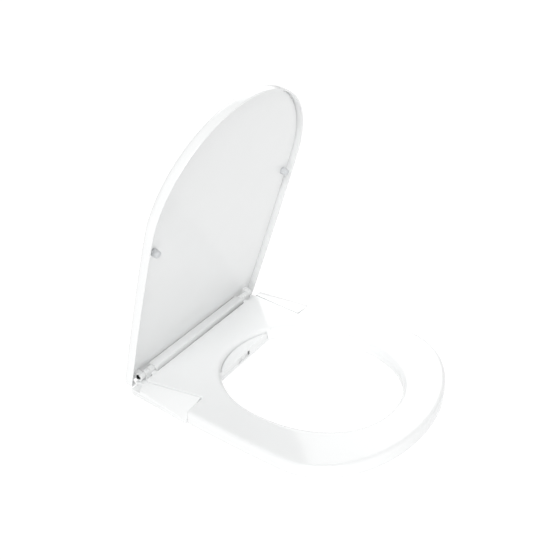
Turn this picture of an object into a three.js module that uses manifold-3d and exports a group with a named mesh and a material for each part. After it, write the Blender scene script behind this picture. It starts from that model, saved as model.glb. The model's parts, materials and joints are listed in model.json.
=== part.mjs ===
// Slim electric bidet seat. Millimetres, +Z up, front along -Y, and +X to the right of someone who stands in
// front of the seat and faces it. The origin lies midway between the two bowl bolts, on the top of the bowl.
// The lid stands open; everything else is at rest.

import * as THREE from 'three';
import { mergeVertices } from 'three/addons/utils/BufferGeometryUtils.js';
import Module from 'manifold-3d';

const wasm = await Module();
wasm.setup();

// ---------------------------------------------------------------- driving dimensions

const GAP = 0.3; // between two pieces that touch
const SWING_GAP = 1.5; // beside and under what moves

const REAR_HALF_WIDTH = 161; // at the deck's rear edge
const HALF_WIDTH = 182; // at the widest station
const SEAT_LENGTH = 405; // deck's rear edge to the front
const WIDEST_STATION = 274; // distance of the widest place from the deck's rear edge
const FLANK_POWER = 1.5; // how soon the sides reach their full width
const DECK_REAR_Y = 2; // the deck's rear edge, seen from the bolts

const SEAT_BOTTOM = 7;
const SEAT_TOP = 27.5;
const SEAT_EDGE_RADIUS = 5;
const SEAT_WALL = 2.8;
const SEAT_SKIN = 2.5;
const DECK_THICKNESS = 5.5;
const OPENING_STATION = 207;
const OPENING_HALF_LENGTH = 142.5;
const OPENING_HALF_WIDTH = 118;
const OPENING_POWER = 2.16;

const HINGE_BEHIND_DECK = 10.5;
const HINGE_Z = 29;
const HINGE_RADIUS = 6;
const PIN_RADIUS = 3;
const PIN_CLEARANCE = 0.3;
const BAR_HALF_LENGTH = 115;
const BAR_TOP = 35;
const BAR_DEPTH = 17;
const BAR_EDGE_RADIUS = 3.5;
const BAR_WALL = 1.8;
const KNUCKLE_WIDTH = 9.5;
const KNUCKLE_GAP = 1;

const LID_OVERHANG = 30; // past the seat's front
const LID_REAR_OUTSET = 2; // wider than the seat on each side, at the deck's rear edge
const LID_SIDE_INSET = 6; // narrower than the seat on each side, at the widest station
const LID_OPEN_DEG = 71.5;
const LID_RIM_Z = 29.5; // rim of the closed lid
const LID_DEPTH = 18;
const LID_WALL = 2.5;
const LID_EDGE_RADIUS = 7;
const LID_REAR = 12; // outer rear wall behind the hinge axis
const PANEL_RECESS = 9.5;
const PANEL_THICKNESS = 2;

const UNIT_BOTTOM = 4;
const UNIT_FRONT_STATION = 82; // front wall under the deck
const UNIT_REAR = 6; // rear wall behind the hinge axis
const UNIT_TOP = 20.5;
const UNIT_SPLIT = 9;
const UNIT_WALL = 2;
const SHOULDER_STATION = 98; // front face of the shoulders
const SHOULDER_REAR_STATION = 3;
const SHOULDER_TOP = 27;
const SHOULDER_FALL = { left: 0.45, right: 0.18 }; // millimetres down for each one outwards
const SHELF_TOP = 14;
const TONGUE_REAR_HALF_WIDTH = 147; // seat deck between the shoulders
const TONGUE_FRONT_HALF_WIDTH = 134;

const PLATE_THICKNESS = 3.7;
const PLATE_HALF_WIDTH = 100;
const PLATE_FRONT_Y = -44;
const PLATE_REAR_Y = 18;
const BOLT_HALF_SPACING = 77;
const SLOT_WIDTH = 11;
const SLOT_LENGTH = 30;

const NOZZLE_X = 9;
const NOZZLE_WIDTH = 8;
const NOZZLE_BOTTOM = 8;
const NOZZLE_HEIGHT = 7;
const NOZZLE_LENGTH = 62;
const PORT_CLEARANCE = 1;
const GEAR_MODULE = 0.8;
const GEAR_TEETH = 12;
const GEAR_BACKLASH = 0.24;
const RACK_BODY = 1;
const PINION_STATION = 68;
const PINION_HEIGHT = 3.4;
const MOTOR_RADIUS = 8;
const MOTOR_HEIGHT = 5.8;

const BUTTON_RADIUS = 5;
const BUTTON_PROUD = 1.5;
const BUTTON_TRAVEL = 1;
const BUTTON_CLEARANCE = 0.3;
const BUTTON_Z = 15;
const BUTTON_STATIONS = { power_button: 42, rear_wash_button: 60, front_wash_button: 78 };
const RELEASE_X = 96;
const RELEASE_RADIUS = 4;
const RELEASE_Z = 9;

const INLET_X = 132;
const INLET_RADIUS = 4.1;
const INLET_Z = 8.2;
const GLAND_X = 60;
const GLAND_RADIUS = 4;
const GLAND_Z = 8.5;
const REAR_FITTING_REACH = 7;

const HOSE_RADIUS = 2.8;

const SCREW_RADIUS = 1.6;
const SCREW_HEAD_RADIUS = 2.8;
const SCREW_HEAD = 1.4;
const SCREW_LENGTH = 11;
const BOSS_RADIUS = 3.6;

const BUFFER_RADIUS = 8;
const LID_BUFFER_RADIUS = 6;

// ---------------------------------------------------------------- derived places

const HINGE_Y = DECK_REAR_Y + HINGE_BEHIND_DECK;
const REAR_Y = HINGE_Y + UNIT_REAR;
const FRONT_Y = DECK_REAR_Y - UNIT_FRONT_STATION;
const INSIDE_FLOOR = UNIT_BOTTOM + UNIT_WALL + GAP;
const INSIDE_TOP = UNIT_TOP - UNIT_WALL - GAP;
const PANEL_Z = LID_RIM_Z + PANEL_RECESS;
const GEAR_PITCH_RADIUS = (GEAR_MODULE * GEAR_TEETH) / 2;
const stationY = (station) => DECK_REAR_Y - station;

// ---------------------------------------------------------------- materials

const finish = (color, roughness, metalness = 0) =>
  new THREE.MeshStandardMaterial({ color, roughness, metalness });
const WHITE_GLOSS = finish(0xf7f8f9, 0.2);
const WHITE_SATIN = finish(0xeef0f1, 0.45);
const GREY_RUBBER = finish(0x9fa3a6, 0.8);
const GREY_PLASTIC = finish(0xc9cccf, 0.55);
const BLACK_PLASTIC = finish(0x2a2c2e, 0.5);
const STEEL = finish(0xc4c8cb, 0.3, 1);
const BRASS = finish(0xc9a86a, 0.35, 1);
const BOARD_GREEN = finish(0x1f5c40, 0.5);
const FOIL = finish(0xd8a23a, 0.4);
const SMOKE_LENS = finish(0x7d8790, 0.1);

// ---------------------------------------------------------------- solids

function toSolid(geometry) {
  geometry.deleteAttribute('normal');
  geometry.deleteAttribute('uv');
  const merged = mergeVertices(geometry, 1e-4);
  const triVerts = new Uint32Array(merged.index.array);
  const vertProperties = new Float32Array(merged.attributes.position.array);
  return new wasm.Manifold(new wasm.Mesh({ numProp: 3, vertProperties, triVerts }));
}

function toGeometry(solid) {
  const mesh = solid.getMesh();
  const geometry = new THREE.BufferGeometry();
  geometry.setAttribute('position', new THREE.BufferAttribute(mesh.vertProperties, 3));
  geometry.setIndex(new THREE.BufferAttribute(mesh.triVerts, 1));
  geometry.computeVertexNormals();
  return geometry;
}

const join = (first, ...others) => others.reduce((all, one) => all.add(one), first);
const cut = (first, ...others) => others.reduce((all, one) => all.subtract(one), first);

function box(x0, x1, y0, y1, z0, z1) {
  const geometry = new THREE.BoxGeometry(x1 - x0, y1 - y0, z1 - z0);
  geometry.translate((x0 + x1) / 2, (y0 + y1) / 2, (z0 + z1) / 2);
  return toSolid(geometry);
}

function rod(axis, [x, y, z], radius, length, sides = 24) {
  const geometry = new THREE.CylinderGeometry(radius, radius, length, sides);
  if (axis === 'x') geometry.rotateZ(-Math.PI / 2);
  if (axis === 'z') geometry.rotateX(Math.PI / 2);
  geometry.translate(x, y, z);
  return toSolid(geometry);
}

const shapeOf = (points) => new THREE.Shape(points.map(([x, y]) => new THREE.Vector2(x, y)));

// An outline in the XY plane, raised from z0 to z1.
function slab(points, z0, z1) {
  const geometry = new THREE.ExtrudeGeometry(shapeOf(points), { depth: z1 - z0, bevelEnabled: false });
  geometry.translate(0, 0, z0);
  return toSolid(geometry);
}

// The same with both its edges rounded.
function softSlab(points, z0, z1, radius) {
  const geometry = new THREE.ExtrudeGeometry(shapeOf(points), {
    depth: z1 - z0 - 2 * radius,
    bevelThickness: radius,
    bevelSize: radius,
    bevelOffset: -radius,
    bevelSegments: 3,
  });
  geometry.translate(0, 0, z0 + radius);
  return toSolid(geometry);
}

// A profile of [y, z] points, run along X from x0 to x1.
function beam(points, x0, x1) {
  const geometry = new THREE.ExtrudeGeometry(shapeOf(points), { depth: x1 - x0, bevelEnabled: false });
  const turn = new THREE.Matrix4();
  turn.makeBasis(new THREE.Vector3(0, 1, 0), new THREE.Vector3(0, 0, 1), new THREE.Vector3(1, 0, 0));
  geometry.applyMatrix4(turn);
  geometry.translate(x0, 0, 0);
  return toSolid(geometry);
}

// A round tube along a path, with flat ends.
function hose(path, radius) {
  const curve = new THREE.CatmullRomCurve3(path.map((point) => new THREE.Vector3(...point)));
  const section = new THREE.Shape().absarc(0, 0, radius, 0, 2 * Math.PI);
  const options = { steps: 24, curveSegments: 5, extrudePath: curve, bevelEnabled: false };
  return toSolid(new THREE.ExtrudeGeometry(section, options));
}

// ---------------------------------------------------------------- outlines

const SEAT_PLAN = { rear: REAR_HALF_WIDTH, widest: HALF_WIDTH, length: SEAT_LENGTH };
const LID_PLAN = {
  rear: REAR_HALF_WIDTH + LID_REAR_OUTSET,
  widest: HALF_WIDTH - LID_SIDE_INSET,
  length: SEAT_LENGTH + LID_OVERHANG,
};

function halfWidth(station, { rear, widest, length }) {
  if (station <= WIDEST_STATION) {
    const share = (WIDEST_STATION - station) / WIDEST_STATION;
    return widest - (widest - rear) * share ** FLANK_POWER;
  }
  const reach = (station - WIDEST_STATION) / (length - WIDEST_STATION);
  return widest * Math.sqrt(Math.max(0, 1 - reach * reach));
}

// The plan outline from one station to the rounded front end, drawn in by an inset, anticlockwise.
function planOutline(rearStation, plan, inset = 0) {
  const flank = 9;
  const nose = 14;
  const right = [];
  for (let i = 0; i <= flank; i += 1) {
    const station = rearStation + inset + ((WIDEST_STATION - rearStation - inset) * i) / flank;
    right.push([halfWidth(station, plan) - inset, stationY(station)]);
  }
  for (let i = 1; i < nose; i += 1) {
    const angle = (Math.PI / 2) * (i / nose);
    const reach = plan.length - WIDEST_STATION - inset;
    right.push([
      (plan.widest - inset) * Math.cos(angle),
      stationY(WIDEST_STATION + reach * Math.sin(angle)),
    ]);
  }
  const left = right.map(([x, y]) => [-x, y]);
  return [...left, [0, stationY(plan.length - inset)], ...right.reverse()];
}

function openingOutline(outset = 0) {
  const points = [];
  const sides = 48;
  for (let i = 0; i < sides; i += 1) {
    const angle = (2 * Math.PI * i) / sides;
    const c = Math.cos(angle);
    const s = Math.sin(angle);
    const across = Math.sign(c) * Math.abs(c) ** (2 / OPENING_POWER);
    const along = Math.sign(s) * Math.abs(s) ** (2 / OPENING_POWER);
    points.push([
      (OPENING_HALF_WIDTH + outset) * across,
      stationY(OPENING_STATION) + (OPENING_HALF_LENGTH + outset) * along,
    ]);
  }
  return points;
}

// What lies outside the deck's tongue on one side, ahead of the hinge and behind the shoulder's front face.
function shoulderSpace(side, clearance, z0, z1) {
  const rearY = stationY(SHOULDER_REAR_STATION) + 2 * clearance;
  const frontY = stationY(SHOULDER_STATION) - clearance;
  const outside = 2 * HALF_WIDTH;
  const points = [
    [TONGUE_REAR_HALF_WIDTH - clearance, rearY],
    [TONGUE_FRONT_HALF_WIDTH - clearance, frontY],
    [outside, frontY],
    [outside, rearY],
  ];
  const placed = points.map(([x, y]) => [side * x, y]);
  return slab(side > 0 ? placed : placed.reverse(), z0, z1);
}

// ---------------------------------------------------------------- hinge places along X

const seatKnuckle = [BAR_HALF_LENGTH + KNUCKLE_GAP, BAR_HALF_LENGTH + KNUCKLE_GAP + KNUCKLE_WIDTH];
const bracket = [seatKnuckle[1] + KNUCKLE_GAP, seatKnuckle[1] + KNUCKLE_GAP + KNUCKLE_WIDTH];
const lidKnuckle = [bracket[1] + KNUCKLE_GAP, bracket[1] + KNUCKLE_GAP + KNUCKLE_WIDTH];
const spanX = (side, [inner, outer]) => (side > 0 ? [inner, outer] : [-outer, -inner]);
const middle = ([low, high]) => (low + high) / 2;

function knuckleBarrel(side, span, radius = HINGE_RADIUS) {
  const width = span[1] - span[0];
  return rod('x', [side * middle(span), HINGE_Y, HINGE_Z], radius, width, 28);
}

const pinBore = (side, span) => knuckleBarrel(side, [span[0] - 1, span[1] + 1], PIN_RADIUS + PIN_CLEARANCE);

// ---------------------------------------------------------------- seat

function seatPocket(inset, z0, z1) {
  const ring = cut(
    slab(planOutline(UNIT_FRONT_STATION + SWING_GAP + inset, SEAT_PLAN, inset), z0, z1),
    slab(openingOutline(inset), z0 - 1, z1 + 1),
  );
  const shoulders = [-1, 1].map((side) => shoulderSpace(side, SWING_GAP + inset, z0 - 1, z1 + 1));
  return cut(ring, ...shoulders);
}

function seatTopShell() {
  const unitSpace = box(
    -2 * HALF_WIDTH, 2 * HALF_WIDTH, FRONT_Y - SWING_GAP, REAR_Y, 0, SEAT_TOP - DECK_THICKNESS,
  );
  const shoulders = [-1, 1].map((side) => shoulderSpace(side, SWING_GAP, 0, SEAT_TOP + 1));
  const shell = cut(
    softSlab(planOutline(0, SEAT_PLAN), SEAT_BOTTOM, SEAT_TOP, SEAT_EDGE_RADIUS),
    slab(openingOutline(), 0, SEAT_TOP + 1),
    unitSpace,
    ...shoulders,
    seatPocket(SEAT_WALL, 0, SEAT_TOP - SEAT_SKIN),
  );
  const armProfile = [
    [stationY(SEAT_EDGE_RADIUS + 3), SEAT_TOP - DECK_THICKNESS + 0.1],
    [HINGE_Y, HINGE_Z - HINGE_RADIUS + 0.4],
    [HINGE_Y, HINGE_Z + HINGE_RADIUS - 1.5],
    [stationY(SEAT_EDGE_RADIUS + 3), SEAT_TOP - 0.1],
  ];
  const arms = [-1, 1].map((side) => {
    const arm = join(knuckleBarrel(side, seatKnuckle), beam(armProfile, ...spanX(side, seatKnuckle)));
    return cut(arm, pinBore(side, seatKnuckle));
  });
  return join(shell, ...arms);
}

const seatBottomShell = () => seatPocket(SEAT_WALL + GAP, SEAT_BOTTOM + GAP, SEAT_BOTTOM + 2.2);

function seatHeater() {
  const top = SEAT_TOP - SEAT_SKIN - GAP;
  return seatPocket(SEAT_WALL + 6, top - 0.8, top);
}

const SEAT_BUFFER_PLACES = {
  seat_buffer_rear_left: [-150, 175],
  seat_buffer_rear_right: [150, 175],
  seat_buffer_front_left: [-92, 358],
  seat_buffer_front_right: [92, 358],
};

const seatBuffer = ([x, station]) =>
  rod('z', [x, stationY(station), SEAT_BOTTOM / 2], BUFFER_RADIUS, SEAT_BOTTOM);

// ---------------------------------------------------------------- lid, drawn closed

const LID_REAR_STATION = -(HINGE_BEHIND_DECK + LID_REAR);

function lidShell() {
  const top = LID_RIM_Z + LID_DEPTH;
  const outline = planOutline(LID_REAR_STATION, LID_PLAN);
  const body = softSlab(outline, LID_RIM_Z - LID_EDGE_RADIUS, top, LID_EDGE_RADIUS);
  const below = box(-2 * HALF_WIDTH, 2 * HALF_WIDTH, -2 * SEAT_LENGTH, SEAT_LENGTH, 0, LID_RIM_Z);
  const hollow = slab(planOutline(LID_REAR_STATION, LID_PLAN, LID_WALL), 0, top - LID_WALL);
  const reach = lidKnuckle[1] + 2;
  const hingeCut = box(-reach, reach, HINGE_Y, HINGE_Y + 2 * LID_REAR, 0, PANEL_Z - GAP);
  return cut(body, below, hollow, hingeCut);
}

function lidInnerPanel() {
  const inset = LID_WALL + GAP;
  const outline = planOutline(LID_REAR_STATION, LID_PLAN, inset);
  const panel = slab(outline, PANEL_Z, PANEL_Z + PANEL_THICKNESS);
  const web = [
    [HINGE_Y - HINGE_RADIUS + 0.5, HINGE_Z],
    [HINGE_Y + HINGE_RADIUS - 0.5, HINGE_Z],
    [HINGE_Y + HINGE_RADIUS, PANEL_Z + 1],
    [HINGE_Y - HINGE_RADIUS - 3, PANEL_Z + 1],
  ];
  const knuckles = [-1, 1].map((side) => {
    const knuckle = join(knuckleBarrel(side, lidKnuckle), beam(web, ...spanX(side, lidKnuckle)));
    return cut(knuckle, pinBore(side, lidKnuckle));
  });
  return join(panel, ...knuckles);
}

const LID_BUFFER_STATION = 243;
const LID_BUFFER_INSET = 18.5;

function lidBuffer(side) {
  const x = side * (halfWidth(LID_BUFFER_STATION, LID_PLAN) - LID_BUFFER_INSET);
  const z0 = SEAT_TOP + GAP;
  const z1 = PANEL_Z - GAP;
  return rod('z', [x, stationY(LID_BUFFER_STATION), (z0 + z1) / 2], LID_BUFFER_RADIUS, z1 - z0);
}

// ---------------------------------------------------------------- wash unit casing

// The unit's plan: a block under the deck and a shoulder on each side, drawn in by an inset.
function unitPlan(inset, z0, z1) {
  const outline = slab(planOutline(DECK_REAR_Y - REAR_Y, SEAT_PLAN, inset), z0, z1);
  const underDeck = box(
    -2 * HALF_WIDTH, 2 * HALF_WIDTH, FRONT_Y + inset, SEAT_LENGTH, z0 - 1, z1 + 1,
  );
  const shoulders = [-1, 1].map((side) => shoulderSpace(side, -inset, z0 - 1, z1 + 1));
  return outline.intersect(join(underDeck, ...shoulders));
}

function shoulder(side, inset, z0, z1) {
  const rearY = stationY(SHOULDER_REAR_STATION) - inset;
  const behind = box(-2 * HALF_WIDTH, 2 * HALF_WIDTH, rearY, SEAT_LENGTH, z0 - 1, z1 + 1);
  return cut(unitPlan(inset, z0, z1).intersect(shoulderSpace(side, -inset, z0, z1)), behind);
}

// Trimmed to the shoulder's top, which falls outwards from the crease beside the deck.
function belowSlope(solid, side, top) {
  const run = TONGUE_REAR_HALF_WIDTH - TONGUE_FRONT_HALF_WIDTH;
  const length = SHOULDER_STATION - SHOULDER_REAR_STATION;
  const fall = side > 0 ? SHOULDER_FALL.right : SHOULDER_FALL.left;
  const normal = new THREE.Vector3(side * fall * length, -fall * run, Math.hypot(run, length)).normalize();
  const crease = new THREE.Vector3(side * TONGUE_REAR_HALF_WIDTH, stationY(SHOULDER_REAR_STATION), top);
  return solid.trimByPlane(normal.clone().negate().toArray(), -normal.dot(crease));
}

const belowSlopes = (solid, top) => belowSlope(belowSlope(solid, -1, top), 1, top);

const rearHole = (x, z, radius) => rod('y', [x, REAR_Y, z], radius, 26);

const SCREW_PLACES = {
  casing_screw_rear_left: [-120, stationY(-5)],
  casing_screw_rear_right: [120, stationY(-5)],
  casing_screw_front_left: [-124, stationY(76)],
  casing_screw_front_right: [124, stationY(76)],
};

function casingScrew([x, y]) {
  const z0 = UNIT_BOTTOM + GAP;
  const head = rod('z', [x, y, z0 + SCREW_HEAD / 2], SCREW_HEAD_RADIUS, SCREW_HEAD, 16);
  const shank = rod('z', [x, y, z0 + SCREW_LENGTH / 2], SCREW_RADIUS, SCREW_LENGTH, 16);
  return join(head, shank);
}

// The countersink runs out through the casing's bottom.
function screwHole([x, y]) {
  const headTop = UNIT_BOTTOM + GAP + SCREW_HEAD + GAP;
  const shankTop = UNIT_BOTTOM + GAP + SCREW_LENGTH + GAP;
  const head = rod('z', [x, y, headTop / 2], SCREW_HEAD_RADIUS + GAP, headTop, 16);
  const shank = rod('z', [x, y, shankTop / 2], SCREW_RADIUS + GAP, shankTop, 16);
  return join(head, shank);
}

const screwHoles = () => Object.values(SCREW_PLACES).map(screwHole);

function casingHoles() {
  const half = rackTip + PORT_CLEARANCE;
  const top = NOZZLE_BOTTOM + NOZZLE_HEIGHT + PORT_CLEARANCE;
  return [
    box(-half, half, FRONT_Y - 5, FRONT_Y + 6, NOZZLE_BOTTOM - PORT_CLEARANCE, top),
    rearHole(INLET_X, INLET_Z, INLET_RADIUS - 1 + GAP),
    rearHole(GLAND_X, GLAND_Z, GLAND_RADIUS + GAP),
    rearHole(RELEASE_X, RELEASE_Z, RELEASE_RADIUS + BUTTON_CLEARANCE),
  ];
}

function baseTray() {
  return cut(
    unitPlan(0, UNIT_BOTTOM, UNIT_SPLIT),
    unitPlan(UNIT_WALL, UNIT_BOTTOM + UNIT_WALL, UNIT_SPLIT + 1),
    ...casingHoles(),
    ...screwHoles(),
  );
}

function buttonPlace(name) {
  const station = BUTTON_STATIONS[name];
  return { x: halfWidth(station, SEAT_PLAN), y: stationY(station) };
}

function baseCover() {
  const z0 = UNIT_SPLIT + GAP;
  const shelfReach = lidKnuckle[1] + 1;
  const shelfFront = stationY(SHOULDER_REAR_STATION);
  const shelves = [-1, 1].map((side) => {
    const [low, high] = spanX(side, [shelfReach, 2 * HALF_WIDTH]);
    return box(low, high, shelfFront, REAR_Y + 1, SHELF_TOP, UNIT_TOP + 1);
  });
  const outer = join(
    cut(unitPlan(0, z0, UNIT_TOP), ...shelves),
    shoulder(-1, 0, z0, SHOULDER_TOP),
    shoulder(1, 0, z0, SHOULDER_TOP),
  );
  const hollowTop = SHOULDER_TOP - UNIT_WALL;
  const innerShelves = [-1, 1].map((side) => {
    const [low, high] = spanX(side, [shelfReach - UNIT_WALL, 2 * HALF_WIDTH]);
    return box(low, high, shelfFront - UNIT_WALL, REAR_Y + 1, SHELF_TOP - UNIT_WALL, UNIT_TOP);
  });
  const inner = join(
    cut(unitPlan(UNIT_WALL, z0 - 1, UNIT_TOP - UNIT_WALL), ...innerShelves),
    shoulder(-1, UNIT_WALL, z0 - 1, hollowTop),
    shoulder(1, UNIT_WALL, z0 - 1, hollowTop),
  );
  const brackets = [-1, 1].map((side) => {
    const [low, high] = spanX(side, bracket);
    const rearFace = HINGE_Y + HINGE_RADIUS - 1;
    const column = box(low, high, HINGE_Y - HINGE_RADIUS, rearFace, UNIT_TOP - 1, HINGE_Z);
    return cut(join(knuckleBarrel(side, bracket), column), pinBore(side, bracket));
  });
  const buttonHoles = Object.keys(BUTTON_STATIONS).map((name) => {
    const { x, y } = buttonPlace(name);
    return rod('x', [x, y, BUTTON_Z], BUTTON_RADIUS + BUTTON_CLEARANCE, 12);
  });
  const lensHole = rod('x', ledPlace(), LED_RADIUS + GAP, 12, 16);
  const bossBottom = UNIT_BOTTOM + UNIT_WALL + GAP;
  const bosses = Object.values(SCREW_PLACES).map(([x, y]) => {
    const height = UNIT_TOP - 1 - bossBottom;
    return rod('z', [x, y, bossBottom + height / 2], BOSS_RADIUS, height, 16);
  });
  const walls = cut(belowSlopes(outer, SHOULDER_TOP), belowSlopes(inner, hollowTop));
  const shell = join(walls, ...brackets, ...bosses);
  return cut(shell, ...casingHoles(), ...buttonHoles, lensHole, ...screwHoles());
}

const barFront = DECK_REAR_Y + SWING_GAP;

function barProfile(inset, bottom) {
  const front = barFront + inset;
  const rear = barFront + BAR_DEPTH - inset;
  const top = BAR_TOP - inset;
  const radius = BAR_EDGE_RADIUS - inset;
  const points = [[front, bottom], [rear, bottom]];
  const arc = (cy, start) => {
    for (let i = 0; i <= 4; i += 1) {
      const angle = start + (Math.PI / 2) * (i / 4);
      points.push([cy + radius * Math.cos(angle), top - radius + radius * Math.sin(angle)]);
    }
  };
  arc(rear - radius, 0);
  arc(front + radius, Math.PI / 2);
  return points;
}

function hingeBarCover() {
  const bottom = UNIT_TOP + GAP;
  const bar = beam(barProfile(0, bottom), -BAR_HALF_LENGTH, BAR_HALF_LENGTH);
  const inside = BAR_HALF_LENGTH - BAR_WALL;
  const bores = [-1, 1].map((side) => pinBore(side, [inside, BAR_HALF_LENGTH]));
  return cut(bar, beam(barProfile(BAR_WALL, bottom - 1), -inside, inside), ...bores);
}

// ---------------------------------------------------------------- hinge pins and soft-close dampers

const DAMPER_RADIUS = 3.9;
const DAMPER_LENGTH = 64;

const hingePin = (side) =>
  knuckleBarrel(side, [BAR_HALF_LENGTH - BAR_WALL - 3, lidKnuckle[1]], PIN_RADIUS);

function damper(side) {
  const outer = BAR_HALF_LENGTH - BAR_WALL - 3 - GAP;
  return knuckleBarrel(side, [outer - DAMPER_LENGTH, outer], DAMPER_RADIUS);
}

// ---------------------------------------------------------------- mounting plate

function mountingPlate() {
  const plate = box(-PLATE_HALF_WIDTH, PLATE_HALF_WIDTH, PLATE_FRONT_Y, PLATE_REAR_Y, 0, PLATE_THICKNESS);
  const slots = [-1, 1].map((side) => {
    const x = side * BOLT_HALF_SPACING;
    const half = (SLOT_LENGTH - SLOT_WIDTH) / 2;
    return join(
      box(x - SLOT_WIDTH / 2, x + SLOT_WIDTH / 2, -half, half, -1, PLATE_THICKNESS + 1),
      rod('z', [x, half, PLATE_THICKNESS / 2], SLOT_WIDTH / 2, PLATE_THICKNESS + 2),
      rod('z', [x, -half, PLATE_THICKNESS / 2], SLOT_WIDTH / 2, PLATE_THICKNESS + 2),
    );
  });
  return cut(plate, ...slots);
}

// ---------------------------------------------------------------- nozzles and their drives

const nozzleFront = FRONT_Y + UNIT_WALL + 1;
const rackFace = NOZZLE_X + NOZZLE_WIDTH / 2;
const rackPitchX = rackFace + RACK_BODY;
const rackTip = rackPitchX + GEAR_MODULE * 0.9;
const pinionX = rackPitchX + GEAR_PITCH_RADIUS;
const pinionY = stationY(PINION_STATION);

// A rack along Y whose teeth point outwards from the nozzle, with a gap opposite the pinion's centre.
function rackOutline(side) {
  const pitch = Math.PI * GEAR_MODULE;
  const half = pitch / 4 - GEAR_BACKLASH / 2;
  const slope = Math.tan(Math.PI / 9);
  const root = rackPitchX - GEAR_MODULE;
  const count = Math.floor((NOZZLE_LENGTH - 6) / pitch);
  const points = [[rackFace - 1, nozzleFront + 2]];
  for (let i = 0; i < count; i += 1) {
    const y = pinionY - 2.5 * pitch + i * pitch;
    points.push([root, y - half - GEAR_MODULE * slope]);
    points.push([rackTip, y - half + GEAR_MODULE * 0.9 * slope]);
    points.push([rackTip, y + half - GEAR_MODULE * 0.9 * slope]);
    points.push([root, y + half + GEAR_MODULE * slope]);
  }
  points.push([rackFace - 1, nozzleFront + NOZZLE_LENGTH - 2]);
  const placed = points.map(([x, y]) => [side * x, y]);
  return side > 0 ? placed : placed.reverse();
}

function nozzle(side) {
  const x = side * NOZZLE_X;
  const half = NOZZLE_WIDTH / 2;
  const top = NOZZLE_BOTTOM + NOZZLE_HEIGHT;
  const body = box(x - half, x + half, nozzleFront, nozzleFront + NOZZLE_LENGTH, NOZZLE_BOTTOM, top);
  const rack = slab(rackOutline(side), NOZZLE_BOTTOM, NOZZLE_BOTTOM + PINION_HEIGHT);
  const sprayHole = rod('z', [x, nozzleFront + 5, top], 1.4, 4, 12);
  const waterway = rod('y', [x, nozzleFront + NOZZLE_LENGTH, top - 3.2], 2, 20, 12);
  return cut(join(body, rack), sprayHole, waterway);
}

// Involute outline of the pinion, with a tooth at angle zero.
function pinionOutline() {
  const pressure = Math.PI / 9;
  const involute = (angle) => Math.tan(angle) - angle;
  const base = GEAR_PITCH_RADIUS * Math.cos(pressure);
  const root = GEAR_PITCH_RADIUS - 1.2 * GEAR_MODULE;
  const tip = GEAR_PITCH_RADIUS + 0.9 * GEAR_MODULE;
  const halfTooth = Math.PI / (2 * GEAR_TEETH) - GEAR_BACKLASH / (2 * GEAR_PITCH_RADIUS);
  const flank = [root, base, GEAR_PITCH_RADIUS, tip].map((radius) => {
    const angle = Math.acos(Math.min(1, base / radius));
    return [radius, halfTooth + involute(pressure) - involute(angle)];
  });
  const points = [];
  for (let tooth = 0; tooth < GEAR_TEETH; tooth += 1) {
    const centre = (2 * Math.PI * tooth) / GEAR_TEETH;
    const rising = flank.map(([radius, half]) => [radius, centre - half]);
    const falling = flank.map(([radius, half]) => [radius, centre + half]).reverse();
    [...rising, ...falling].forEach(([radius, angle]) => {
      points.push([radius * Math.cos(angle), radius * Math.sin(angle)]);
    });
  }
  return points;
}

function pinion(side) {
  const turn = side > 0 ? Math.PI : 0;
  const placed = pinionOutline().map(([x, y]) => [
    side * pinionX + x * Math.cos(turn) - y * Math.sin(turn),
    pinionY + x * Math.sin(turn) + y * Math.cos(turn),
  ]);
  return slab(placed, NOZZLE_BOTTOM, NOZZLE_BOTTOM + PINION_HEIGHT);
}

function nozzleMotor(side) {
  const z = NOZZLE_BOTTOM + PINION_HEIGHT + GAP + MOTOR_HEIGHT / 2;
  const centre = [side * (pinionX + MOTOR_RADIUS - GEAR_PITCH_RADIUS), pinionY + 1, z];
  return rod('z', centre, MOTOR_RADIUS, MOTOR_HEIGHT, 28);
}

function nozzleCradle() {
  const half = rackFace + 0.5;
  const front = FRONT_Y + UNIT_WALL + GAP;
  const rear = nozzleFront + NOZZLE_LENGTH + 3;
  const ribHalf = NOZZLE_X - NOZZLE_WIDTH / 2 - GAP;
  return join(
    box(-half, half, front, rear, INSIDE_FLOOR, NOZZLE_BOTTOM - GAP),
    box(-ribHalf, ribHalf, front, rear, INSIDE_FLOOR, NOZZLE_BOTTOM + NOZZLE_HEIGHT),
  );
}

// ---------------------------------------------------------------- water and electric parts inside

function flowHeater() {
  const x0 = -112;
  const tank = box(x0, x0 + 66, FRONT_Y + 8, FRONT_Y + 52, INSIDE_FLOOR, INSIDE_TOP);
  const spigot = rod('y', [x0 + 50, FRONT_Y + 55, INSIDE_FLOOR + 5], 3, 10, 16);
  return join(tank, spigot);
}

function diverterValve() {
  const y0 = FRONT_Y + 70;
  const body = box(-20, 14, y0, y0 + 16, INSIDE_FLOOR, INSIDE_TOP - 1);
  const spigot = rod('x', [-24, y0 + 8, INSIDE_FLOOR + 5], 3, 8, 16);
  return join(body, spigot);
}

const heaterHose = () =>
  hose([
    [-62, FRONT_Y + 60 + GAP, INSIDE_FLOOR + 5],
    [-62, FRONT_Y + 70, INSIDE_FLOOR + 5],
    [-54, FRONT_Y + 78, INSIDE_FLOOR + 5],
    [-28 - GAP, FRONT_Y + 78, INSIDE_FLOOR + 5],
  ], HOSE_RADIUS);

function controlBoard() {
  const z0 = INSIDE_FLOOR + 1.5;
  const board = box(36, 116, FRONT_Y + 8, FRONT_Y + 56, z0, z0 + 1.6);
  const chips = [
    box(46, 60, FRONT_Y + 16, FRONT_Y + 30, z0 + 1.5, z0 + 3.2),
    box(70, 82, FRONT_Y + 14, FRONT_Y + 40, z0 + 1.5, z0 + 7),
    box(92, 108, FRONT_Y + 20, FRONT_Y + 34, z0 + 1.5, z0 + 6),
  ];
  return join(board, ...chips);
}

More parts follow.
